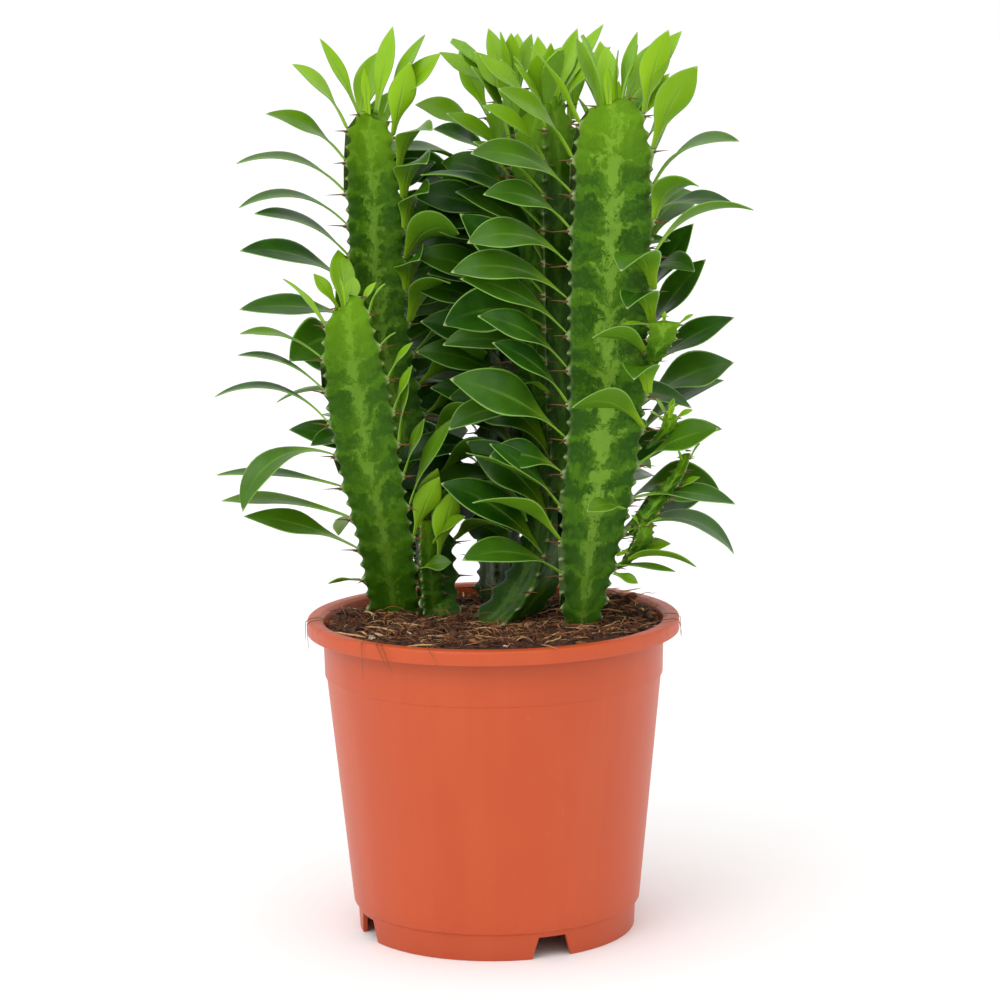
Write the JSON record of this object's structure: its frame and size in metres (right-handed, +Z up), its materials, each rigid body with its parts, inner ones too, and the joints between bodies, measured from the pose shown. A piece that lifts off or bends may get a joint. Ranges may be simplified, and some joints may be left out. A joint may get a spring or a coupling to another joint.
{
  "type": "potted euphorbia plant",
  "caption": "Three-ribbed African milk tree euphorbia: upright toothed green stems with spoon-shaped leaves, standing in soil in a round plastic nursery pot.",
  "frame": {"origin": "on the pot's axis, on the surface that the foot ring stands on", "axes": "+Z up along the pot's axis; -Y towards the side with the short stem on the left and the widest stem on the right; +X towards the widest stem"},
  "size_m": [0.2367, 0.17, 0.4078],
  "materials": {
    "pot_plastic": "terracotta-coloured moulded polypropylene, satin, with faint turning lines",
    "soil": "loose dark coir and peat with pale fibres, matt",
    "stem": "fleshy waxy green skin, mottled light and dark, satin",
    "leaf": "smooth waxy dark green leaf, semi-gloss, paler midrib and edge",
    "young_leaf": "smooth waxy yellow-green young leaf, semi-gloss"
  },
  "bodies": {
    "root": {"front_left_leaf_a00": "young_leaf", "front_left_leaf_a01": "leaf", "front_left_leaf_a02": "leaf", "front_left_leaf_a03": "leaf", "front_left_leaf_a04": "leaf", "front_left_leaf_a05": "leaf", "front_left_leaf_a06": "leaf", "front_left_leaf_a07": "leaf", "front_left_leaf_b03": "leaf", "front_left_leaf_b05": "leaf", "front_left_leaf_b06": "leaf", "front_left_stem": "stem", "middle_crown_leaf_4": "young_leaf", "middle_leaf_c01": "leaf", "middle_stem": "stem", "pot": "pot_plastic", "rear_middle_crown_leaf_5": "young_leaf", "rear_middle_stem": "stem", "rear_right_crown_leaf_6": "young_leaf", "rear_right_leaf_b02": "leaf", "rear_right_leaf_b05": "leaf", "rear_right_leaf_b06": "leaf", "rear_right_leaf_b07": "leaf", "rear_right_stem": "stem", "soil": "soil", "tall_left_crown_leaf_0": "young_leaf", "tall_left_crown_leaf_1": "young_leaf", "tall_left_leaf_a00": "young_leaf", "tall_left_leaf_a01": "leaf", "tall_left_leaf_a02": "leaf", "tall_left_leaf_a03": "leaf", "tall_left_leaf_a04": "leaf", "tall_left_leaf_a05": "leaf", "tall_left_leaf_a06": "leaf", "tall_left_leaf_a11": "leaf", "tall_left_leaf_b00": "young_leaf", "tall_left_leaf_b01": "leaf", "tall_left_stem": "stem", "tall_right_crown_leaf_2": "young_leaf", "tall_right_crown_leaf_3": "young_leaf", "tall_right_leaf_a00": "young_leaf", "tall_right_leaf_a01": "leaf", "tall_right_leaf_a02": "leaf", "tall_right_leaf_a03": "leaf", "tall_right_leaf_a04": "leaf", "tall_right_leaf_a05": "leaf", "tall_right_leaf_a06": "leaf", "tall_right_leaf_a07": "leaf", "tall_right_leaf_a08": "leaf", "tall_right_leaf_a09": "leaf", "tall_right_leaf_a11": "leaf", "tall_right_leaf_b00": "young_leaf", "tall_right_leaf_b01": "leaf", "tall_right_leaf_b02": "leaf", "tall_right_leaf_b03": "leaf", "tall_right_leaf_b04": "leaf", "tall_right_leaf_b09": "leaf", "tall_right_leaf_b10": "leaf", "tall_right_leaf_b11": "leaf", "tall_right_stem": "stem"}
  },
  "joints": []
}
